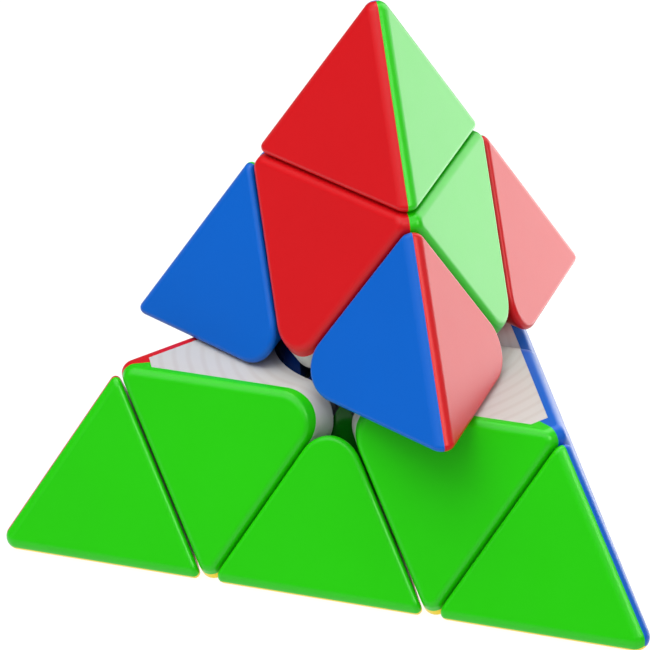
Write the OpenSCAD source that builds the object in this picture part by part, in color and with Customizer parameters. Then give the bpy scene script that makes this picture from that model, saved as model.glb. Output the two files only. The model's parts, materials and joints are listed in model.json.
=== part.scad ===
// Tetrahedral twisty puzzle: four turning tips, four axial pieces on
// sprung screws, six captive edge pieces and one central core.
// Origin: centre of the core, where the four turning axes cross.
// +Z: the axis of the upper corner. The lowest face lies in a plane below
// the origin. The upper section stands part-way through a turn about +Z.

/* [Overall] */
// Edge of the tetrahedron that the cut planes divide in three, mm
edge_len = 98; // [88:1:110]
// Turn of the upper section away from flush, degrees
top_turn = -26.2; // [-60:0.1:60]
// Turn of the uppermost tip on its axial piece, degrees
tip_turn = 0; // [-60:0.1:60]

/* [Outer shape] */
// Clear gap between neighbouring pieces, mm
piece_gap = 0.3; // [0.26:0.02:0.4]
// How far the facelets stand out beyond that tetrahedron, mm
face_out = 0.35; // [0.2:0.05:0.5]
// Rounding radius along the six long edges and at the apexes, mm
ridge_r = 1.9; // [1.6:0.1:2.4]
// Rounding radius of a facelet's rim on the axial pieces, mm
axial_border_r = 1.4; // [1:0.1:1.5]
// Rounding radius of a facelet's rim on the tips and edge pieces, mm
border_r = 0.8; // [0.5:0.1:1]
// Rounding radius of the inner walls that meet at each face centre, mm
centre_r = 5; // [3.5:0.5:5.5]
// Thickness of the coloured caps, mm
cap_t = 1.5; // [1.3:0.1:1.8]
// Depth of coloured plastic at a facelet corner on a long edge, mm
corner_cap = 4.7; // [4.2:0.1:5.4]
// Wall thickness of the hollow edge pieces, mm
edge_wall = 1.8; // [1.6:0.1:2]

/* [Mechanism] */
// Radius of the core ball, mm
ball_r = 9; // [8:0.1:9]
// Outer radius of the edge feet, mm
foot_r = 16.4; // [16.1:0.1:16.5]
// Clearance between the feet and what they slide on, mm
foot_clear = 0.4; // [0.3:0.05:0.5]
// Radius of the core arms that the axial pieces turn on, mm
arm_r = 2.6; // [2.4:0.1:2.8]
// Radius of each tip's snap post, mm
post_r = 3.4; // [3.2:0.1:3.6]
// Running clearance of arms and posts in their bores, mm
run_clear = 0.06; // [0.04:0.01:0.1]
// Wire radius of the corner springs, mm
wire_r = 0.38; // [0.3:0.02:0.44]

/* [Hidden] */
$fn = 96;
k = edge_len / 98;               // everything inside grows with the edge
hgt = edge_len * sqrt(2 / 3);    // height of the sharp tetrahedron
c = hgt / 12;                    // distance of each cut plane from the centre
g = piece_gap / 2;
seam = 0.02;                     // joint line between glued parts
nib = 0.004;                     // keeps roundings from being exactly tangent
big = edge_len;
face_d = 3 * c + face_out;       // centre to each outer face
ridge_d = face_d * sqrt(3);      // centre to the middle of a long edge
// unit directions of the corners: 0 top, 1 left, 2 right, 3 back
dir = [
  [0, 0, 1],
  [-sqrt(2 / 3), -sqrt(2) / 3, -1 / 3],
  [sqrt(2 / 3), -sqrt(2) / 3, -1 / 3],
  [0, 2 * sqrt(2) / 3, -1 / 3]
];
hub_deg = 37;                    // half angle of the axial hubs
foot_cut = 5.65 * k;             // plane that bounds the edge feet, from the centre
ball = ball_r * k;
foot_in = ball + foot_clear;
foot_out = foot_r * k;
shell_in = foot_out + foot_clear;
boss_at = [24, 28.2];            // pegs between the halves of an edge piece
arm_end = 15.4 * k;
bore_end = arm_end + 0.4;
shelf = 18 * k;                  // floor of the spring well
well_r = 4.3 * k;
lip_lo = 31.8 * k;               // lower side of the lip the tip snaps under
spring_lo = shelf + 0.3;
washer_lo = 26.3 * k;
washer_t = 0.6;
head_lo = washer_lo + washer_t + 0.05;
head_h = 2 * k;
coil_r = 2.5 * k;
white = [0.9, 0.89, 0.86];
green = [0.13, 0.74, 0.08];
red = [0.84, 0.1, 0.12];
blue = [0.03, 0.37, 0.8];
yellow = [0.98, 0.86, 0.06];
steel = [0.62, 0.63, 0.65];

function unit(v) = v / norm(v);
function others(v) = [for (i = [0:3]) if (i != v) i];
function rest(v, w) = [for (i = [0:3]) if (i != v && i != w) i];

// ---- helpers ----------------------------------------------------------
module along(n) {
  rotate([0, acos(n[2]), atan2(n[1], n[0])]) children();
}

// everything on the near side of the plane n.p = d
module keep(n, d) {
  along(n) translate([-big, -big, d - 2 * big]) cube([2 * big, 2 * big, 2 * big]);
}

// the sliver to take off where the planes n1.p = d1 and n2.p = d2 meet,
// leaving a rounding of radius r
module sliver(n1, d1, n2, d2, r) {
  q = n1 * n2;
  e1 = d1 - r + nib;
  e2 = d2 - r + nib;
  at = ((e1 - q * e2) / (1 - q * q)) * n1 + ((e2 - q * e1) / (1 - q * q)) * n2;
  b = unit(n1 + n2);
  t = unit(cross(n1, n2));
  s = cross(b, t);
  half = acos(q) / 2;
  lo = r * cos(half);
  wide = r * sin(half) + 0.6;
  multmatrix([
    [s[0], b[0], t[0], at[0]],
    [s[1], b[1], t[1], at[1]],
    [s[2], b[2], t[2], at[2]],
    [0, 0, 0, 1]
  ])
    difference() {
      translate([-wide, lo, -big / 2]) cube([2 * wide, r / cos(half) - lo + 0.6, big]);
      cylinder(r = r, h = big + 2, center = true);
    }
}

// the sliver to take off at a sharp corner v of the tetrahedron
module apex_sliver(v) {
  o = others(v);
  m = 3 * (face_d - ridge_r) * dir[v];
  difference() {
    intersection() {
      keep(unit(dir[o[0]] - dir[v]), m * unit(dir[o[0]] - dir[v]) - 0.01);
      keep(unit(dir[o[1]] - dir[v]), m * unit(dir[o[1]] - dir[v]) - 0.01);
      keep(unit(dir[o[2]] - dir[v]), m * unit(dir[o[2]] - dir[v]) - 0.01);
    }
    translate(m) sphere(r = ridge_r + 0.25);
  }
}

module top_layer() {
  rotate([0, 0, top_turn]) children();
}

// ---- outer shapes -----------------------------------------------------
module axial_shape(v) {
  o = others(v);
  difference() {
    intersection() {
      keep(dir[v], 5 * c - g);
      keep(-dir[v], -(c + g));
      keep(dir[o[0]], c - g);
      keep(dir[o[1]], c - g);
      keep(dir[o[2]], c - g);
      keep(-dir[o[0]], face_d);
      keep(-dir[o[1]], face_d);
      keep(-dir[o[2]], face_d);
    }
    for (f = o) {
      p = rest(v, f);
      sliver(-dir[f], face_d, dir[v], 5 * c - g, axial_border_r);
      sliver(-dir[f], face_d, dir[p[0]], c - g, axial_border_r);
      sliver(-dir[f], face_d, dir[p[1]], c - g, axial_border_r);
      sliver(dir[p[0]], c - g, dir[p[1]], c - g, centre_r);
      sliver(-dir[p[0]], face_d, -dir[p[1]], face_d, ridge_r);
    }
  }
}

module tip_shape(v) {
  o = others(v);
  difference() {
    intersection() {
      keep(-dir[v], -(5 * c + g));
      keep(-dir[o[0]], face_d);
      keep(-dir[o[1]], face_d);
      keep(-dir[o[2]], face_d);
    }
    for (f = o) {
      p = rest(v, f);
      sliver(-dir[f], face_d, -dir[v], -(5 * c + g), border_r);
      sliver(-dir[p[0]], face_d, -dir[p[1]], face_d, ridge_r);
    }
    apex_sliver(v);
  }
}

module edge_shape(v, w) {
  p = rest(v, w);
  difference() {
    intersection() {
      keep(-dir[v], -(c + g));
      keep(-dir[w], -(c + g));
      keep(-dir[p[0]], face_d);
      keep(-dir[p[1]], face_d);
    }
    for (f = p) {
      sliver(-dir[f], face_d, -dir[v], -(c + g), border_r);
      sliver(-dir[f], face_d, -dir[w], -(c + g), border_r);
    }
    sliver(-dir[p[0]], face_d, -dir[p[1]], face_d, ridge_r);
    sliver(-dir[v], -(c + g), -dir[w], -(c + g), centre_r);
  }
}

// the white inner volume behind the coloured caps of a corner v
module inner_volume(v, grow) {
  o = others(v);
  intersection() {
    keep(-dir[o[0]], face_d - cap_t + grow);
    keep(-dir[o[1]], face_d - cap_t + grow);
    keep(-dir[o[2]], face_d - cap_t + grow);
    keep(unit(dir[v] + dir[o[0]]), ridge_d - corner_cap + grow);
    keep(unit(dir[v] + dir[o[1]]), ridge_d - corner_cap + grow);
    keep(unit(dir[v] + dir[o[2]]), ridge_d - corner_cap + grow);
  }
}

// pegs behind the cap of corner v on face f, two on axials, one on tips
module axial_pegs(v, f, fat, deep) {
  p = rest(v, f);
  mid = c * (5 * dir[v] + 2 * dir[p[0]] + 2 * dir[p[1]]);
  side = unit(dir[p[0]] - dir[p[1]]);
  for (s = [-1, 1])
    translate(mid + s * 4 * k * side + (cap_t - 0.4 - face_out) * dir[f])
      along(dir[f]) cylinder(r = 1.1 + fat, h = 2.6 + deep);
}

module tip_pegs(v, f, fat, deep) {
  p = rest(v, f);
  mid = c * (7 * dir[v] + dir[p[0]] + dir[p[1]]);
  translate(mid + (cap_t - 0.4 - face_out) * dir[f])
    along(dir[f]) cylinder(r = 1.1 + fat, h = 2 + deep);
}

// ---- axial pieces -----------------------------------------------------
module axial_body(v) {
  o = others(v);
  difference() {
    intersection() {
      axial_shape(v);
      inner_volume(v, 0);
    }
    difference() {
      sphere(r = shell_in);
      along(dir[v]) translate([0, 0, 5 * k])
        cylinder(r1 = 5 * k * tan(hub_deg), r2 = 18 * k * tan(hub_deg), h = 13 * k);
    }
    sphere(r = foot_in);
    along(dir[v]) {
      translate([0, 0, 5 * k]) cylinder(r = arm_r + run_clear, h = bore_end - 5 * k);
      translate([0, 0, 10 * k]) cylinder(r = 1.6, h = 12 * k);
      translate([0, 0, shelf]) cylinder(r = well_r, h = lip_lo - shelf);
      translate([0, 0, 25 * k]) cylinder(r = post_r + run_clear, h = 12 * k);
    }
    for (f = o) axial_pegs(v, f, 0.04, 0.2);
  }
}

module axial_cap(v, f) {
  p = rest(v, f);
  union() {
    difference() {
      intersection() {
        axial_shape(v);
        keep(unit(dir[f] - dir[p[0]]), -seam / 2);
        keep(unit(dir[f] - dir[p[1]]), -seam / 2);
      }
      inner_volume(v, seam);
    }
    axial_pegs(v, f, 0, 0);
  }
}

// ---- tips -------------------------------------------------------------
module tip_body(v) {
  o = others(v);
  difference() {
    union() {
      intersection() {
        tip_shape(v);
        inner_volume(v, 0);
      }
      along(dir[v]) {
        translate([0, 0, 31 * k]) cylinder(r = post_r, h = 4 * k);
        translate([0, 0, 31 * k]) cylinder(r = post_r + 0.5, h = 0.5 * k);
        translate([0, 0, 30.2 * k]) cylinder(r1 = post_r - 0.3, r2 = post_r + 0.5, h = 0.8 * k);
      }
    }
    along(dir[v]) {
      // hollow of the post, and the slot that lets it spring
      translate([0, 0, 29 * k]) cylinder(r = 2, h = 7.5 * k);
      translate([-0.5, -6, 29 * k]) cube([1, 12, 3.9 * k]);
    }
    for (f = o) tip_pegs(v, f, 0.04, 0.2);
  }
}

module tip_cap(v, f) {
  p = rest(v, f);
  union() {
    difference() {
      intersection() {
        tip_shape(v);
        keep(unit(dir[f] - dir[p[0]]), -seam / 2);
        keep(unit(dir[f] - dir[p[1]]), -seam / 2);
      }
      inner_volume(v, seam);
    }
    tip_pegs(v, f, 0, 0);
  }
}

// ---- edge pieces ------------------------------------------------------
// the hollow shell between corners v and w, with the slot for the neck
module edge_shell(v, w) {
  p = rest(v, w);
  m = unit(dir[v] + dir[w]);
  e = unit(dir[p[0]] - dir[p[1]]);
  s = cross(m, e);
  difference() {
    edge_shape(v, w);
    difference() {
      intersection() {
        keep(-dir[v], -(c + g + edge_wall));
        keep(-dir[w], -(c + g + edge_wall));
        keep(-dir[p[0]], face_d - edge_wall);
        keep(-dir[p[1]], face_d - edge_wall);
        keep(-m, -(18.6 * k));
      }
      for (d = boss_at)
        translate(d * k * m) along(e) cylinder(r = 2.1, h = 40 * k, center = true);
    }
    multmatrix([
      [e[0], s[0], m[0], 0],
      [e[1], s[1], m[1], 0],
      [e[2], s[2], m[2], 0],
      [0, 0, 0, 1]
    ])
      translate([-5 * k - 0.04, -1.2 * k - 0.04, 12 * k]) cube([10 * k + 0.08, 2.4 * k + 0.08, 7.4 * k]);
    sphere(r = shell_in);
  }
}

// the foot under the shell, with its neck and the head held in the shell
module edge_foot(v, w) {
  p = rest(v, w);
  m = unit(dir[v] + dir[w]);
  e = unit(dir[p[0]] - dir[p[1]]);
  s = cross(m, e);
  union() {
    difference() {
      intersection() {
        keep(-dir[v], -(c + g));
        keep(-dir[w], -(c + g));
        multmatrix([
          [e[0], s[0], m[0], 0],
          [e[1], s[1], m[1], 0],
          [e[2], s[2], m[2], 0],
          [0, 0, 0, 1]
        ])
          union() {
            translate([-5 * k, -1.2 * k, 12 * k]) cube([10 * k, 2.4 * k, 8 * k]);
            translate([-6 * k, -2.4 * k, 19.2 * k]) cube([12 * k, 4.8 * k, 2 * k]);
          }
      }
      sphere(r = foot_out - 0.3);
    }
    difference() {
      intersection() {
        sphere(r = foot_out);
        keep(-dir[v], -foot_cut);
        keep(-dir[w], -foot_cut);
      }
      sphere(r = foot_in);
    }
  }
}

// the half of edge v-w that carries face f; the half on the lower numbered
// face has the pegs, the other has the sockets
module edge_half(v, w, f) {
  p = rest(v, w);
  y = p[0] == f ? p[1] : p[0];
  m = unit(dir[v] + dir[w]);
  e = unit(dir[y] - dir[f]);
  if (f < y)
    union() {
      intersection() {
        edge_shell(v, w);
        keep(-e, -seam / 2);
      }
      for (d = boss_at)
        translate(d * k * m - 1 * e) along(e) cylinder(r = 1, h = 2.6);
    }
  else
    difference() {
      intersection() {
        edge_shell(v, w);
        keep(-e, -seam / 2);
      }
      for (d = boss_at)
        translate(d * k * m - 1 * e) along(e) cylinder(r = 1.04, h = 3);
    }
}

// ---- core and corner hardware -----------------------------------------
module core() {
  color(white)
    difference() {
      union() {
        sphere(r = ball);
        for (v = [0:3]) along(dir[v]) translate([0, 0, 5 * k]) cylinder(r = arm_r, h = arm_end - 5 * k);
      }
      for (v = [0:3]) along(dir[v]) translate([0, 0, 6 * k]) cylinder(r = 1.27, h = 12 * k);
    }
}

module corner_screws() {
  color(steel)
    for (v = [0:3]) along(dir[v])
      difference() {
        union() {
          translate([0, 0, 7 * k]) cylinder(r = 1.25, h = head_lo - 7 * k + 0.5);
          translate([0, 0, head_lo]) cylinder(r = 3 * k, h = head_h);
        }
        // cross recess
        translate([-1.6, -0.35, head_lo + head_h - 1.1]) cube([3.2, 0.7, 2]);
        translate([-0.35, -1.6, head_lo + head_h - 1.1]) cube([0.7, 3.2, 2]);
      }
}

module corner_washers() {
  color(steel)
    for (v = [0:3]) along(dir[v])
      translate([0, 0, washer_lo])
        difference() {
          cylinder(r = 3.2 * k, h = washer_t);
          translate([0, 0, -1]) cylinder(r = 1.4, h = washer_t + 2);
        }
}

turns = 5;
steps = 12;
ring = 5;
coil_n = turns * steps;
coil_h = washer_lo - spring_lo - 2 * wire_r - 0.04;
function rise(t) = t < 0.08 ? 0 : t > 0.92 ? 1 : (t - 0.08) / 0.84;
coil_points = [
  for (i = [0:coil_n]) for (j = [0:ring - 1])
    let (
      a = 360 * i / steps,
      b = 360 * j / ring,
      q = coil_r + wire_r * cos(b)
    )
    [q * cos(a), q * sin(a), wire_r + coil_h * rise(i / coil_n) + wire_r * sin(b)]
];
coil_faces = concat(
  [[for (j = [0:ring - 1]) j]],
  [for (i = [0:coil_n - 1]) for (j = [0:ring - 1])
    [i * ring + j, (i + 1) * ring + j, (i + 1) * ring + (j + 1) % ring]],
  [for (i = [0:coil_n - 1]) for (j = [0:ring - 1])
    [i * ring + j, (i + 1) * ring + (j + 1) % ring, i * ring + (j + 1) % ring]],
  [[for (j = [ring - 1:-1:0]) coil_n * ring + j]]
);

module corner_springs() {
  color(steel)
    for (v = [0:3]) along(dir[v])
      translate([0, 0, spring_lo]) polyhedron(points = coil_points, faces = coil_faces, convexity = 8);
}

// ---- named parts ------------------------------------------------------
module axial_top_body() { color(white) top_layer() axial_body(0); }
module axial_top_cap_red() { color(red) top_layer() axial_cap(0, 3); }
module axial_top_cap_green() { color(green) top_layer() axial_cap(0, 1); }
module axial_top_cap_blue() { color(blue) top_layer() axial_cap(0, 2); }
module axial_left_body() { color(white) axial_body(1); }
module axial_left_cap_green() { color(green) axial_cap(1, 3); }
module axial_left_cap_red() { color(red) axial_cap(1, 2); }
module axial_left_cap_yellow() { color(yellow) axial_cap(1, 0); }
module axial_right_body() { color(white) axial_body(2); }
module axial_right_cap_green() { color(green) axial_cap(2, 3); }
module axial_right_cap_blue() { color(blue) axial_cap(2, 1); }
module axial_right_cap_yellow() { color(yellow) axial_cap(2, 0); }
module axial_back_body() { color(white) axial_body(3); }
module axial_back_cap_red() { color(red) axial_cap(3, 2); }
module axial_back_cap_blue() { color(blue) axial_cap(3, 1); }
module axial_back_cap_yellow() { color(yellow) axial_cap(3, 0); }

module edge_upper_front_foot() { color(blue) top_layer() edge_foot(0, 2); }
module edge_upper_front_half_blue() { color(blue) top_layer() edge_half(0, 2, 3); }
module edge_upper_front_half_red() { color(red) top_layer() edge_half(0, 2, 1); }
module edge_upper_left_foot() { color(blue) top_layer() edge_foot(0, 1); }
module edge_upper_left_half_blue() { color(blue) top_layer() edge_half(0, 1, 3); }
module edge_upper_left_half_green() { color(green) top_layer() edge_half(0, 1, 2); }
module edge_upper_back_foot() { color(red) top_layer() edge_foot(0, 3); }
module edge_upper_back_half_red() { color(red) top_layer() edge_half(0, 3, 1); }
module edge_upper_back_half_green() { color(green) top_layer() edge_half(0, 3, 2); }
module edge_base_front_foot() { color(green) edge_foot(1, 2); }
module edge_base_front_half_green() { color(green) edge_half(1, 2, 3); }
module edge_base_front_half_yellow() { color(yellow) edge_half(1, 2, 0); }
module edge_base_right_foot() { color(blue) rotate([0, 0, 120]) edge_foot(1, 2); }
module edge_base_right_half_blue() { color(blue) rotate([0, 0, 120]) edge_half(1, 2, 3); }
module edge_base_right_half_yellow() { color(yellow) rotate([0, 0, 120]) edge_half(1, 2, 0); }
module edge_base_left_foot() { color(red) rotate([0, 0, -120]) edge_foot(1, 2); }
module edge_base_left_half_red() { color(red) rotate([0, 0, -120]) edge_half(1, 2, 3); }
module edge_base_left_half_yellow() { color(yellow) rotate([0, 0, -120]) edge_half(1, 2, 0); }

module tip_top_body() { color(white) top_layer() rotate([0, 0, tip_turn]) tip_body(0); }
module tip_top_cap_red() { color(red) top_layer() rotate([0, 0, tip_turn]) tip_cap(0, 3); }
module tip_top_cap_green() { color(green) top_layer() rotate([0, 0, tip_turn]) tip_cap(0, 1); }
module tip_top_cap_blue() { color(blue) top_layer() rotate([0, 0, tip_turn]) tip_cap(0, 2); }
module tip_left_body() { color(white) tip_body(1); }
module tip_left_cap_green() { color(green) tip_cap(1, 3); }
module tip_left_cap_red() { color(red) tip_cap(1, 2); }
module tip_left_cap_yellow() { color(yellow) tip_cap(1, 0); }
module tip_right_body() { color(white) tip_body(2); }
module tip_right_cap_green() { color(green) tip_cap(2, 3); }
module tip_right_cap_blue() { color(blue) tip_cap(2, 1); }
module tip_right_cap_yellow() { color(yellow) tip_cap(2, 0); }
module tip_back_body() { color(white) tip_body(3); }
module tip_back_cap_red() { color(red) tip_cap(3, 2); }
module tip_back_cap_blue() { color(blue) tip_cap(3, 1); }
module tip_back_cap_yellow() { color(yellow) tip_cap(3, 0); }

core();
corner_screws();
corner_washers();
corner_springs();
axial_top_body();
axial_top_cap_red();
axial_top_cap_green();
axial_top_cap_blue();
axial_left_body();
axial_left_cap_green();
axial_left_cap_red();
axial_left_cap_yellow();
axial_right_body();
axial_right_cap_green();
axial_right_cap_blue();
axial_right_cap_yellow();
axial_back_body();
axial_back_cap_red();
axial_back_cap_blue();
axial_back_cap_yellow();
edge_upper_front_foot();
edge_upper_front_half_blue();
edge_upper_front_half_red();
edge_upper_left_foot();
edge_upper_left_half_blue();
edge_upper_left_half_green();
edge_upper_back_foot();
edge_upper_back_half_red();
edge_upper_back_half_green();
edge_base_front_foot();
edge_base_front_half_green();
edge_base_front_half_yellow();
edge_base_right_foot();
edge_base_right_half_blue();
edge_base_right_half_yellow();
edge_base_left_foot();
edge_base_left_half_red();
edge_base_left_half_yellow();
tip_top_body();
tip_top_cap_red();
tip_top_cap_green();
tip_top_cap_blue();
tip_left_body();
tip_left_cap_green();
tip_left_cap_red();
tip_left_cap_yellow();
tip_right_body();
tip_right_cap_green();
tip_right_cap_blue();
tip_right_cap_yellow();
tip_back_body();
tip_back_cap_red();
tip_back_cap_blue();
tip_back_cap_yellow();
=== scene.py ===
"""Pyramid twisty puzzle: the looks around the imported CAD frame. Lengths are in mm until a mesh is made."""

import json
import math

import bpy
import numpy as np
from mathutils import Matrix, Vector


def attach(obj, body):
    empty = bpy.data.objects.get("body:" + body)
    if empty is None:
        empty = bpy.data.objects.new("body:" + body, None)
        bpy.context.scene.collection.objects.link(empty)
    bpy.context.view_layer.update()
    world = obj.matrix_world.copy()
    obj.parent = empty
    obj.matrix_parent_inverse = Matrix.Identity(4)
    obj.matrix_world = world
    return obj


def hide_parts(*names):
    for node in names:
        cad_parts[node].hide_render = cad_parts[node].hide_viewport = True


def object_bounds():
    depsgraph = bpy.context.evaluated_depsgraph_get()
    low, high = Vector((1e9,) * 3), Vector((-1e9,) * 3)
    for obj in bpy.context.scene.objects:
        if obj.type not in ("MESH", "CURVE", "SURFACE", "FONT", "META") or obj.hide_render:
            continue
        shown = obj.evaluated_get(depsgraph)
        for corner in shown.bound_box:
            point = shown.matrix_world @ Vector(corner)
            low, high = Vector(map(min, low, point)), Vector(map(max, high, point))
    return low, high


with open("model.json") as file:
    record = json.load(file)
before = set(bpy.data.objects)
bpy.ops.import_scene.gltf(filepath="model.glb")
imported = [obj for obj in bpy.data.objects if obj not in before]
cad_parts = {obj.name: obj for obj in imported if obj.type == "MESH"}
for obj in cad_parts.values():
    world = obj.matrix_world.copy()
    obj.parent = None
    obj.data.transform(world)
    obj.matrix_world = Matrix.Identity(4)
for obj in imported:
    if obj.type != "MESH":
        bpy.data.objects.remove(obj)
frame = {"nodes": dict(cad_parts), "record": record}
CAD_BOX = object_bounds()

# ---- sizes, the same as in the CAD ------------------------------------------
EDGE = 98.0
TURN = -26.2
GAP = 0.15
CUT = EDGE * math.sqrt(2 / 3) / 12
FACE = 3 * CUT + 0.35
RIDGE_D = FACE * math.sqrt(3)
RIDGE_R = 1.9
CENTRE_R = 5.0
CAP_T = 1.5
CORNER_CAP = 4.7
RIM_R = 0.75
AXIAL_RIM_R = 1.35
CORNER_R = 1.8
FOOT_OUT = 16.85
DIRS = np.array(
    [
        [0, 0, 1],
        [-math.sqrt(2 / 3), -math.sqrt(2) / 3, -1 / 3],
        [math.sqrt(2 / 3), -math.sqrt(2) / 3, -1 / 3],
        [0, 2 * math.sqrt(2) / 3, -1 / 3],
    ]
)
STEP = math.radians(7)


def unit(v):
    v = np.asarray(v, float)
    return v / np.linalg.norm(v)


def slerp(a, b, t):
    w = math.acos(max(-1.0, min(1.0, float(a @ b))))
    if w < 1e-6:
        return a
    return (math.sin((1 - t) * w) * a + math.sin(t * w) * b) / math.sin(w)


def others(v):
    return [i for i in range(4) if i != v]


def rest(v, w):
    return [i for i in range(4) if i not in (v, w)]


# ---- convex solids with rolled edges ----------------------------------------
def crossing(p, q, n, d):
    """Where the segment p-q meets the plane, the same from either side."""
    if tuple(q) < tuple(p):
        p, q = q, p
    a, b = p @ n - d, q @ n - d
    return p + (q - p) * (a / (a - b))


def around(points, n):
    c = np.mean(points, axis=0)
    x = unit(np.cross(n, [0.3, 0.5, 0.81]))
    y = np.cross(n, x)
    return sorted(points, key=lambda p: math.atan2((p - c) @ y, (p - c) @ x))


def distinct(points, tol=1e-5):
    out = []
    for p in points:
        if all(np.abs(p - q).max() > tol for q in out):
            out.append(p)
    return out


def convex(planes, size=400.0):
    """The solid inside all the planes, as (points, plane index) faces, counter-clockwise from outside."""
    faces = []
    for axis in range(3):
        for s in (-1, 1):
            n = np.zeros(3)
            n[axis] = s
            pts = []
            for u in (-1, 1):
                for w in (-1, 1):
                    p = np.zeros(3)
                    p[axis] = s * size
                    p[(axis + 1) % 3] = u * size
                    p[(axis + 2) % 3] = w * size
                    pts.append(p)
            faces.append((around(pts, n), -1))
    for k, (n, d, *_) in enumerate(planes):
        kept, ring = [], []
        for pts, tag in faces:
            s = [p @ n - d for p in pts]
            if max(s) <= 1e-9:
                kept.append((pts, tag))
                continue
            if min(s) >= -1e-9:
                continue
            out = []
            for i, p in enumerate(pts):
                j = (i + 1) % len(pts)
                if s[i] <= 0:
                    out.append(p)
                if (s[i] <= 0) != (s[j] <= 0):
                    x = crossing(p, pts[j], n, d)
                    out.append(x)
                    ring.append(x)
            if len(out) > 2:
                kept.append((out, tag))
        faces = kept
        ring = distinct(ring)
        if len(ring) > 2:
            faces.append((around(ring, n), k))
    return faces


def fillet(n1, d1, n2, d2, r):
    """Planes that touch the rounding of radius r between two planes."""
    q = n1 @ n2
    e1, e2 = d1 - r, d2 - r
    at = ((e1 - q * e2) / (1 - q * q)) * n1 + ((e2 - q * e1) / (1 - q * q)) * n2
    count = int(round(math.acos(q) / STEP)) - 1
    out = []
    for i in range(1, count + 1):
        n = slerp(n1, n2, i / (count + 1))
        out.append((n, n @ at + r, "round", False))
    return out


def dome(ns, at, r):
    """Planes that touch a ball of radius r at `at`, between three outward normals."""
    count = int(round(math.acos(ns[0] @ ns[1]) / STEP))
    out = []
    for i in range(1, count):
        for j in range(1, count - i):
            k = count - i - j
            n = unit(i * ns[0] + j * ns[1] + k * ns[2])
            out.append((n, n @ at + r, "round", False))
    return out


def rolled(planes, r, m=5):
    """The convex solid with every sharp edge rolled to radius r: faces as (points, normals, tag)."""
    inset = [(n, d - r) for n, d, *_ in planes]
    raw = convex(inset)
    verts, faces = [], []

    def vid(p):
        for i, q in enumerate(verts):
            if abs(p[0] - q[0]) < 2e-4 and np.abs(p - q).max() < 2e-4:
                return i
        verts.append(p)
        return len(verts) - 1

    for pts, k in raw:
        ids = [vid(p) for p in pts]
        ids = [a for i, a in enumerate(ids) if a != ids[i - 1]]
        if len(set(ids)) > 2:
            faces.append((ids, k))
    edge = {}
    for f, (ids, _) in enumerate(faces):
        for i, a in enumerate(ids):
            edge[(a, ids[(i + 1) % len(ids)])] = f
    normal = [planes[k][0] for _, k in faces]
    flat = [planes[k][3] for _, k in faces]
    smooth_cos = math.cos(math.radians(20))

    def smooth(i, j):
        return normal[i] @ normal[j] > smooth_cos and not (flat[i] and flat[j])

    group, ring_of = {}, {}
    for v in range(len(verts)):
        mine = [f for f, (ids, _) in enumerate(faces) if v in ids]
        if not mine:
            continue
        order, f = [], mine[0]
        while f not in order:
            order.append(f)
            ids = faces[f][0]
            before = ids[ids.index(v) - 1]
            f = edge[(v, before)]
        n = len(order)
        starts = [i for i in range(n) if not smooth(order[i - 1], order[i])]
        if starts:
            order = order[starts[0] :] + order[: starts[0]]
        groups = []
        for i, f in enumerate(order):
            if i and smooth(order[i - 1], f):
                groups[-1].append(f)
            else:
                groups.append([f])
        ring_of[v] = groups
        for g, members in enumerate(groups):
            flats = [f for f in members if flat[f]]
            nn = normal[flats[0]] if flats else unit(sum(normal[f] for f in members))
            for f in members:
                group[(v, f)] = (g, nn)
    out = []

    def corner(v, n):
        return verts[v] + r * n

    for f, (ids, k) in enumerate(faces):
        ns = [group[(v, f)][1] for v in ids]
        out.append(([corner(v, n) for v, n in zip(ids, ns)], ns, planes[k][2]))
    for (a, b), i in edge.items():
        j = edge[(b, a)]
        if a > b or smooth(i, j):
            continue
        na = [slerp(group[(a, i)][1], group[(a, j)][1], t / m) for t in range(m + 1)]
        nb = [slerp(group[(b, i)][1], group[(b, j)][1], t / m) for t in range(m + 1)]
        for t in range(m):
            quad = [(b, nb[t]), (a, na[t]), (a, na[t + 1]), (b, nb[t + 1])]
            pts = [corner(v, n) for v, n in quad]
            keep = [x for x in range(4) if np.abs(pts[x] - pts[x - 1]).max() > 1e-6]
            if len(keep) > 2:
                out.append(([pts[x] for x in keep], [quad[x][1] for x in keep], "rim"))
    for v, groups in ring_of.items():
        if len(groups) < 3:
            continue
        ns = [group[(v, g[0])][1] for g in groups]
        loop = []
        for i, n in enumerate(ns):
            loop += [slerp(n, ns[(i + 1) % len(ns)], t / m) for t in range(m)]
        mid = unit(sum(ns))
        rings = 3
        rows = [[slerp(mid, n, q / rings) for n in loop] for q in range(1, rings + 1)]
        for i in range(len(loop)):
            j = (i + 1) % len(loop)
            tri = [mid, rows[0][i], rows[0][j]]
            out.append(([corner(v, n) for n in tri], tri, "rim"))
            for q in range(rings - 1):
                quad = [rows[q][i], rows[q + 1][i], rows[q + 1][j], rows[q][j]]
                out.append(([corner(v, n) for n in quad], quad, "rim"))
    return out


def split(faces, n, d):
    """Every face cut in two where the plane crosses it."""
    out = []
    for pts, ns, tag in faces:
        s = [p @ n - d for p in pts]
        if max(s) <= 1e-6 or min(s) >= -1e-6:
            out.append((pts, ns, tag))
            continue
        low, high = ([], []), ([], [])
        for i, p in enumerate(pts):
            j = (i + 1) % len(pts)
            for side, keep in ((low, s[i] <= 0), (high, s[i] >= 0)):
                if keep:
                    side[0].append(p)
                    side[1].append(ns[i])
            if s[i] * s[j] < 0:
                x = crossing(p, pts[j], n, d)
                t = s[i] / (s[i] - s[j])
                nx = unit(ns[i] * (1 - t) + ns[j] * t)
                for side in (low, high):
                    side[0].append(x)
                    side[1].append(nx)
        for side in (low, high):
            if len(side[0]) > 2:
                out.append((side[0], side[1], tag))
    return out


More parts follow.
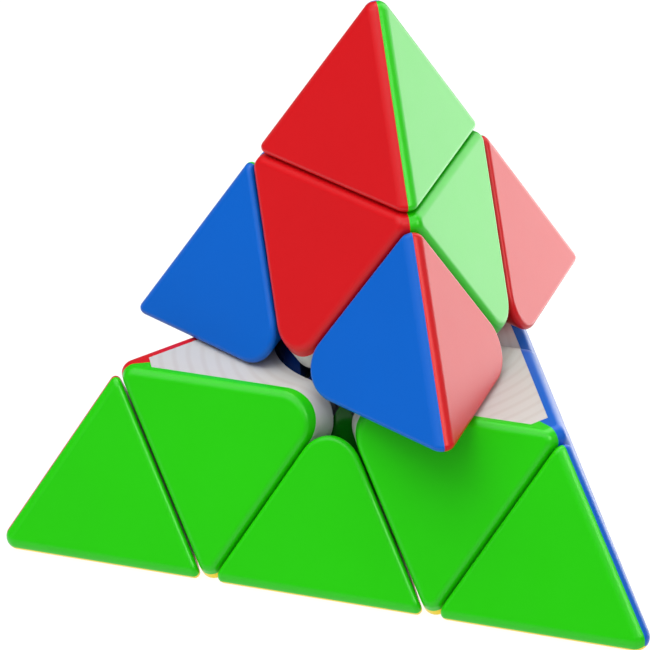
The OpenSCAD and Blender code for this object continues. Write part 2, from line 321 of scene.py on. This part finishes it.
def section(faces, n, d):
    """The outline that a plane cuts from a closed convex set of faces."""
    ring = []
    for pts, _, _ in faces:
        s = [p @ n - d for p in pts]
        for i, p in enumerate(pts):
            j = (i + 1) % len(pts)
            if abs(s[i]) <= 1e-6:
                ring.append(p)
            elif s[i] * s[j] < 0 and abs(s[j]) > 1e-6:
                ring.append(crossing(p, pts[j], n, d))
    return around(distinct(ring), n)


def trimmed(faces, n, d, tag="wall"):
    """The closed convex set of faces cut off at a plane, and closed again."""
    outline = section(faces, n, d)
    kept = [f for f in split(faces, n, d) if np.mean(f[0], axis=0) @ n <= d + 1e-7]
    if len(outline) > 2:
        kept.append((outline, [n] * len(outline), tag))
    return kept


def hollowed(faces, walls, ball=False):
    """The closed convex set of faces less the volume inside all the walls, shaded as one ball if asked."""
    out = faces
    for n, d in walls:
        out = split(out, n, d)

    def inside(p, skip=None):
        return all(p @ n < d for i, (n, d) in enumerate(walls) if i != skip)

    out = [f for f in out if not inside(np.mean(f[0], axis=0))]
    for k, (n, d) in enumerate(walls):
        outline = section(faces, n, d)
        if len(outline) < 3:
            continue
        bits = [(outline, [-n] * len(outline), "wall")]
        for i, (n2, d2) in enumerate(walls):
            if i != k:
                bits = split(bits, n2, d2)
        for pts, ns, tag in bits:
            if inside(np.mean(pts, axis=0), k):
                back = pts[::-1]
                out.append((back, [-unit(p) for p in back] if ball else ns, tag))
    return out


# ---- the puzzle's pieces ----------------------------------------------------
def flat(n, d, tag):
    return (np.asarray(n, float), float(d), tag, True)


def axial_planes(v):
    o = others(v)
    p = [flat(DIRS[v], 5 * CUT - GAP, "cut"), flat(-DIRS[v], -(CUT + GAP), "cut")]
    p += [flat(DIRS[w], CUT - GAP, "cut") for w in o]
    p += [flat(-DIRS[f], FACE, "out") for f in o]
    for f in o:
        a, b = rest(v, f)
        p += fillet(DIRS[a], CUT - GAP, DIRS[b], CUT - GAP, CENTRE_R)
        p += fillet(-DIRS[a], FACE, -DIRS[b], FACE, RIDGE_R)
        p += fillet(DIRS[v], 5 * CUT - GAP, DIRS[f], CUT - GAP, CORNER_R)
    return p


def tip_planes(v):
    o = others(v)
    p = [flat(-DIRS[v], -(5 * CUT + GAP), "cut")]
    p += [flat(-DIRS[f], FACE, "out") for f in o]
    for f in o:
        a, b = rest(v, f)
        p += fillet(-DIRS[a], FACE, -DIRS[b], FACE, RIDGE_R)
    at = 3 * (FACE - RIDGE_R) * DIRS[v]
    p += dome([-DIRS[f] for f in o], at, RIDGE_R)
    return p


def edge_planes(v, w):
    a, b = rest(v, w)
    p = [flat(-DIRS[v], -(CUT + GAP), "cut"), flat(-DIRS[w], -(CUT + GAP), "cut")]
    p += [flat(-DIRS[a], FACE, "out"), flat(-DIRS[b], FACE, "out")]
    p += fillet(-DIRS[a], FACE, -DIRS[b], FACE, RIDGE_R)
    p += fillet(-DIRS[v], -(CUT + GAP), -DIRS[w], -(CUT + GAP), CENTRE_R)
    return p


def capped(faces, v, f):
    """The coloured cap of corner v's piece on face f."""
    a, b = rest(v, f)
    for y in (a, b):
        faces = trimmed(faces, unit(DIRS[f] - DIRS[y]), -0.004)
    walls = [(-DIRS[f], FACE - CAP_T + 0.02)]
    for y in (a, b):
        walls.append((unit(DIRS[v] + DIRS[y]), RIDGE_D - CORNER_CAP + 0.02))
    return hollowed(faces, walls)


def foot_room(v, w):
    """Walls that follow the round end of the foot of edge v-w."""
    mid = unit(DIRS[v] + DIRS[w])
    a, b = rest(v, w)
    long = unit(DIRS[a] - DIRS[b])
    return [(unit(mid + math.tan(math.radians(5.7 * i + 0.3)) * long), FOOT_OUT) for i in range(-4, 5)]


# ---- meshes -----------------------------------------------------------------
def to_mesh(name, faces, turn):
    """A mesh in metres with the exact normals of the rolled surfaces."""
    spin = np.array(Matrix.Rotation(math.radians(turn), 3, "Z"))
    key, verts, polys, normals = {}, [], [], []
    for pts, ns, tag in faces:
        ids, keep = [], []
        for p, n in zip(pts, ns):
            k = tuple(np.round(p / 2e-4).astype(int))
            found = None
            for dx in (0, -1, 1):
                for dy in (0, -1, 1):
                    for dz in (0, -1, 1):
                        q = (k[0] + dx, k[1] + dy, k[2] + dz)
                        if q in key:
                            found = key[q]
                            break
                    if found is not None:
                        break
                if found is not None:
                    break
            if found is None:
                found = key[k] = len(verts)
                verts.append(spin @ p / 1000)
            if found in ids:
                continue
            ids.append(found)
            keep.append(spin @ n)
        if len(ids) > 2:
            polys.append(ids)
            normals += keep
    mesh = bpy.data.meshes.new(name)
    mesh.from_pydata([Vector(v) for v in verts], [], polys)
    mesh.validate(clean_customdata=False)
    mesh.shade_smooth()
    if len(mesh.loops) == len(normals):
        mesh.normals_split_custom_set([Vector(n) for n in normals])
    mesh.update()
    return mesh


# ---- materials --------------------------------------------------------------
def srgb(r, g, b):
    def lin(x):
        x /= 255
        return x / 12.92 if x <= 0.04045 else ((x + 0.055) / 1.055) ** 2.4

    return (lin(r), lin(g), lin(b), 1)


def scaled(c, k):
    return tuple(min(1, x * k) for x in c[:3]) + (1,)


def plastic(name, colour, rough=0.3, drift=0.02, grain=0.04, gloss=0.4):
    """Moulded plastic: colour that drifts a little, fine mould grain and soft wear in the gloss."""
    mat = bpy.data.materials.new(name)
    mat.use_nodes = True
    nt = mat.node_tree
    nt.nodes.clear()
    out = nt.nodes.new("ShaderNodeOutputMaterial")
    bsdf = nt.nodes.new("ShaderNodeBsdfPrincipled")
    nt.links.new(bsdf.outputs["BSDF"], out.inputs["Surface"])
    bsdf.inputs["IOR"].default_value = 1.46
    bsdf.inputs["Specular IOR Level"].default_value = gloss
    tc = nt.nodes.new("ShaderNodeTexCoord")

    big = nt.nodes.new("ShaderNodeTexNoise")
    big.inputs["Scale"].default_value = 45
    big.inputs["Detail"].default_value = 4
    ramp = nt.nodes.new("ShaderNodeValToRGB")
    ramp.color_ramp.elements[0].position = 0.3
    ramp.color_ramp.elements[0].color = scaled(colour, 1 - drift)
    ramp.color_ramp.elements[1].position = 0.7
    ramp.color_ramp.elements[1].color = scaled(colour, 1 + drift)
    nt.links.new(tc.outputs["Object"], big.inputs["Vector"])
    nt.links.new(big.outputs["Fac"], ramp.inputs["Fac"])
    nt.links.new(ramp.outputs["Color"], bsdf.inputs["Base Color"])

    wear = nt.nodes.new("ShaderNodeTexNoise")
    wear.inputs["Scale"].default_value = 220
    wear.inputs["Detail"].default_value = 6
    wear.inputs["Roughness"].default_value = 0.65
    span = nt.nodes.new("ShaderNodeMapRange")
    span.inputs["From Min"].default_value = 0.3
    span.inputs["From Max"].default_value = 0.7
    span.inputs["To Min"].default_value = rough - 0.01
    span.inputs["To Max"].default_value = rough + 0.02
    nt.links.new(tc.outputs["Object"], wear.inputs["Vector"])
    nt.links.new(wear.outputs["Fac"], span.inputs["Value"])
    nt.links.new(span.outputs["Result"], bsdf.inputs["Roughness"])

    fine = nt.nodes.new("ShaderNodeTexNoise")
    fine.inputs["Scale"].default_value = 2600
    fine.inputs["Detail"].default_value = 3
    bump = nt.nodes.new("ShaderNodeBump")
    bump.inputs["Strength"].default_value = grain
    bump.inputs["Distance"].default_value = 0.0001
    nt.links.new(tc.outputs["Object"], fine.inputs["Vector"])
    nt.links.new(fine.outputs["Fac"], bump.inputs["Height"])
    nt.links.new(bump.outputs["Normal"], bsdf.inputs["Normal"])
    return mat


def flow_plastic(name, colour, streak):
    """White inner plastic with the faint fan of flow lines that moulding leaves."""
    mat = plastic(name, colour, rough=0.42, drift=0.015, grain=0.08, gloss=0.4)
    nt = mat.node_tree
    bsdf = next(n for n in nt.nodes if n.type == "BSDF_PRINCIPLED")
    base = bsdf.inputs["Base Color"].links[0].from_socket
    tc = next(n for n in nt.nodes if n.type == "TEX_COORD")
    warp = nt.nodes.new("ShaderNodeTexNoise")
    warp.inputs["Scale"].default_value = 35
    warp.inputs["Detail"].default_value = 1
    add = nt.nodes.new("ShaderNodeMix")
    add.data_type = "VECTOR"
    add.inputs["Factor"].default_value = 0.006
    wave = nt.nodes.new("ShaderNodeTexWave")
    wave.wave_type = "RINGS"
    wave.rings_direction = "Z"
    wave.inputs["Scale"].default_value = 165
    wave.inputs["Distortion"].default_value = 3
    wave.inputs["Detail"].default_value = 1
    wave.inputs["Detail Scale"].default_value = 0.12
    nt.links.new(tc.outputs["Object"], warp.inputs["Vector"])
    nt.links.new(tc.outputs["Object"], add.inputs["A"])
    nt.links.new(warp.outputs["Color"], add.inputs["B"])
    nt.links.new(add.outputs["Result"], wave.inputs["Vector"])
    ramp = nt.nodes.new("ShaderNodeValToRGB")
    ramp.color_ramp.elements[0].position = 0.5
    ramp.color_ramp.elements[0].color = (0, 0, 0, 1)
    ramp.color_ramp.elements[1].position = 1.0
    ramp.color_ramp.elements[1].color = (0.22, 0.22, 0.22, 1)
    mix = nt.nodes.new("ShaderNodeMix")
    mix.data_type = "RGBA"
    mix.inputs["B"].default_value = streak
    nt.links.new(wave.outputs["Fac"], ramp.inputs["Fac"])
    nt.links.new(ramp.outputs["Color"], mix.inputs["Factor"])
    nt.links.new(base, mix.inputs["A"])
    nt.links.new(mix.outputs["Result"], bsdf.inputs["Base Color"])
    return mat


def steel(name):
    mat = plastic(name, (0.55, 0.55, 0.57, 1), rough=0.3, drift=0.06, grain=0.15, gloss=0.5)
    bsdf = next(n for n in mat.node_tree.nodes if n.type == "BSDF_PRINCIPLED")
    bsdf.inputs["Metallic"].default_value = 1.0
    return mat


MATS = {
    "green": plastic("green_plastic", srgb(36, 206, 0)),
    "red": plastic("red_plastic", srgb(214, 18, 26), gloss=0.28),
    "blue": plastic("blue_plastic", srgb(0, 98, 203), gloss=0.26),
    "yellow": plastic("yellow_plastic", srgb(255, 224, 0)),
    "white": flow_plastic("white_plastic", srgb(206, 205, 202), srgb(180, 167, 159)),
    # painted shade: the feet get darker copies of the cap colours, standing in for the shadow they lie in
    # deep inside the puzzle
    "shaded_green_foot": plastic("shaded_green_foot_plastic", srgb(4, 92, 10), rough=0.2, gloss=0.5),
    "shaded_blue_foot": plastic("shaded_blue_foot_plastic", srgb(2, 30, 84), rough=0.25, gloss=0.4),
    "shaded_red_foot": plastic("shaded_red_foot_plastic", srgb(110, 8, 12), rough=0.25, gloss=0.4),
    "steel": steel("plated_steel"),
}

# ---- build ------------------------------------------------------------------
bodies = frame["record"]["behaviour"]["bodies"]
body_of = {n: b for b, ns in bodies.items() for n in ns}
CORNERS = {"top": 0, "left": 1, "right": 2, "back": 3}
FACES = {  # corner or edge piece: colour -> face number
    ("axial", "top"): {"red": 3, "green": 1, "blue": 2},
    ("axial", "left"): {"green": 3, "red": 2, "yellow": 0},
    ("axial", "right"): {"green": 3, "blue": 1, "yellow": 0},
    ("axial", "back"): {"red": 2, "blue": 1, "yellow": 0},
}
EDGES = {
    "upper_front": (0, 2, {"blue": 3, "red": 1}),
    "upper_left": (0, 1, {"blue": 3, "green": 2}),
    "upper_back": (0, 3, {"red": 1, "green": 2}),
    "base_front": (1, 2, {"green": 3, "yellow": 0}),
    "base_right": (2, 3, {"blue": 1, "yellow": 0}),
    "base_left": (1, 3, {"red": 2, "yellow": 0}),
}
# each foot takes one of the darkened plastics above: painted shade, not a colour of its own
FEET = {
    "edge_upper_front_foot": "shaded_blue_foot",
    "edge_upper_left_foot": "shaded_blue_foot",
    "edge_upper_back_foot": "shaded_red_foot",
    "edge_base_front_foot": "shaded_green_foot",
    "edge_base_right_foot": "shaded_blue_foot",
    "edge_base_left_foot": "shaded_red_foot",
}


def add_piece(node, faces, colour, turn):
    mesh = to_mesh(node + "_look", faces, turn)
    mesh.materials.append(MATS[colour])
    obj = bpy.data.objects.new(node + "_look", mesh)
    bpy.context.scene.collection.objects.link(obj)
    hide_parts(node)
    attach(obj, body_of[node])
    return obj


for corner, v in CORNERS.items():
    axial = rolled(axial_planes(v), AXIAL_RIM_R)
    tip = rolled(tip_planes(v), RIM_R)
    turn = TURN if v == 0 else 0
    for colour, f in FACES[("axial", corner)].items():
        add_piece(f"axial_{corner}_cap_{colour}", capped(axial, v, f), colour, turn)
        add_piece(f"tip_{corner}_cap_{colour}", capped(tip, v, f), colour, turn)
for name, (v, w, sides) in EDGES.items():
    whole = rolled(edge_planes(v, w), RIM_R)
    turn = TURN if name.startswith("upper") else 0
    for colour, f in sides.items():
        y = [i for i in rest(v, w) if i != f][0]
        half = trimmed(whole, unit(DIRS[f] - DIRS[y]), -0.004)
        half = hollowed(half, foot_room(v, w), ball=True)
        add_piece(f"edge_{name}_half_{colour}", half, colour, turn)

for node, obj in frame["nodes"].items():
    kind = "steel" if node.startswith("corner_") else FEET.get(node, "white")
    if obj.hide_render:
        kind = node.rsplit("_", 1)[-1]
    obj.data.materials.clear()
    obj.data.materials.append(MATS[kind])

# ---- floor, light, camera ---------------------------------------------------
base_z = CAD_BOX[0].z


def emitter(name, mesh, grey, glow):
    """A white surface of the studio, lit a little by itself."""
    obj = bpy.data.objects.new(name, mesh)
    bpy.context.scene.collection.objects.link(obj)
    mat = bpy.data.materials.new(name + "_white")
    mat.use_nodes = True
    bsdf = next(x for x in mat.node_tree.nodes if x.type == "BSDF_PRINCIPLED")
    bsdf.inputs["Base Color"].default_value = (grey, grey, grey, 1)
    bsdf.inputs["Roughness"].default_value = 0.7
    bsdf.inputs["Emission Color"].default_value = (1, 1, 1, 1)
    bsdf.inputs["Emission Strength"].default_value = glow
    mesh.materials.append(mat)
    obj.visible_glossy = False
    obj.visible_diffuse = False
    obj.visible_shadow = False


def studio():
    n = 48
    ring = [(math.cos(2 * math.pi * i / n), math.sin(2 * math.pi * i / n)) for i in range(n)]
    radii = [0.2, 0.6, 1.5, 4.0]
    verts = [Vector((0, 0, base_z))] + [Vector((r * x, r * y, base_z)) for r in radii for x, y in ring]
    faces = [(0, 1 + i, 1 + (i + 1) % n) for i in range(n)]
    for k in range(len(radii) - 1):
        for i in range(n):
            a, b = 1 + k * n + i, 1 + k * n + (i + 1) % n
            faces.append((a, a + n, b + n, b))
    mesh = bpy.data.meshes.new("floor")
    mesh.from_pydata(verts, [], faces)
    emitter("floor", mesh, 0.14, 0.93)
    verts = [Vector((4 * x, 4 * y, z)) for z in (base_z, 4.0) for x, y in ring]
    faces = [(i, (i + 1) % n, n + (i + 1) % n, n + i) for i in range(n)]
    mesh = bpy.data.meshes.new("backdrop")
    mesh.from_pydata(verts, [], faces)
    emitter("backdrop", mesh, 0.1, 1.0)


studio()


def softbox(name, at, aim, size, power, glossy=True, colour=(1, 1, 1)):
    data = bpy.data.lights.new(name, "AREA")
    data.shape = "RECTANGLE"
    data.size, data.size_y = size
    data.energy = power
    data.color = colour
    obj = bpy.data.objects.new(name, data)
    bpy.context.scene.collection.objects.link(obj)
    obj.location = at
    obj.rotation_euler = (Vector(aim) - Vector(at)).to_track_quat("-Z", "Y").to_euler()
    obj.visible_camera = False
    obj.visible_glossy = glossy
    return obj


aim = (0, 0, 0.02)
softbox("key_top", (-0.12, -0.4, 0.85), aim, (0.6, 0.5), 1.75, glossy=False)
softbox("fill_left", (-0.75, -0.75, 0.35), aim, (0.5, 0.5), 1.0, glossy=False)
softbox("fill_front", (0.65, -0.8, 0.45), aim, (0.6, 0.5), 1.1, glossy=False)
softbox("fill_right", (0.8, 0.22, 0.3), aim, (0.4, 0.4), 1.05, glossy=False, colour=(1, 0.72, 0.72))
softbox("fill_back", (0.2, 0.85, 0.2), aim, (0.5, 0.4), 0.35, glossy=False)
card = softbox("card_back", (0.064, 0.103, 0.058), (0.011, -0.005, 0.033), (0.115, 0.235), 0.258)
card.visible_diffuse = False
card = softbox("card_right", (0.62, -0.24, 0.46), aim, (0.35, 0.35), 2.6, colour=(1, 0.97, 0.9))
card.visible_diffuse = False
card = softbox("card_top", (0, 0.27, 0.78), aim, (0.5, 0.3), 1.7, colour=(1, 0.97, 0.85))
card.visible_diffuse = False

world = bpy.data.worlds.new("studio")
bpy.context.scene.world = world
world.use_nodes = True
wn = world.node_tree
bg = wn.nodes["Background"]
tc = wn.nodes.new("ShaderNodeTexCoord")
parts = []
for axis, start, stop, strength in (
    ((-0.1, -0.25, 0.96), 0.55, 0.97, 1.95),  # soft box overhead
    ((0.35, 0.93, 0.1), 0.1, 0.9, 0.08),  # pale wall behind
    ((0, 0, -1), -0.05, 0.4, 0.95),  # light off the table
):
    dot = wn.nodes.new("ShaderNodeVectorMath")
    dot.operation = "DOT_PRODUCT"
    dot.inputs[1].default_value = axis
    span = wn.nodes.new("ShaderNodeMapRange")
    span.interpolation_type = "SMOOTHSTEP"
    span.inputs["From Min"].default_value = start
    span.inputs["From Max"].default_value = stop
    span.inputs["To Max"].default_value = strength
    wn.links.new(tc.outputs["Generated"], dot.inputs[0])
    wn.links.new(dot.outputs["Value"], span.inputs["Value"])
    parts.append(span.outputs["Result"])
last = None
for part in parts:
    add = wn.nodes.new("ShaderNodeMath")
    add.operation = "ADD"
    add.inputs[1].default_value = 0.11
    wn.links.new(part, add.inputs[0])
    if last:
        wn.links.new(last, add.inputs[1])
    last = add.outputs["Value"]
wn.links.new(last, bg.inputs["Strength"])
bg.inputs["Color"].default_value = (1, 1, 1, 1)

scene = bpy.context.scene
scene.view_settings.view_transform = "Standard"
scene.view_settings.look = "None"

F_PX = 5601.0
ROT = Vector((2.001419, 0.364938, -0.271637))
SHIFT = Vector((8.6411, 8.0013, 777.1682))
m = Matrix.Rotation(ROT.length, 3, ROT.normalized())
t = SHIFT
cam_data = bpy.data.cameras.new("camera")
cam_data.sensor_width = 36
cam_data.lens = F_PX * 36 / 650
cam_data.clip_start = 0.01
cam_data.clip_end = 20
cam = bpy.data.objects.new("camera", cam_data)
scene.collection.objects.link(cam)
inv = m.transposed()
flip = Matrix(((1, 0, 0), (0, -1, 0), (0, 0, -1)))
cam.matrix_world = Matrix.Translation(-(inv @ t) / 1000) @ (inv @ flip).to_4x4()
scene.camera = cam
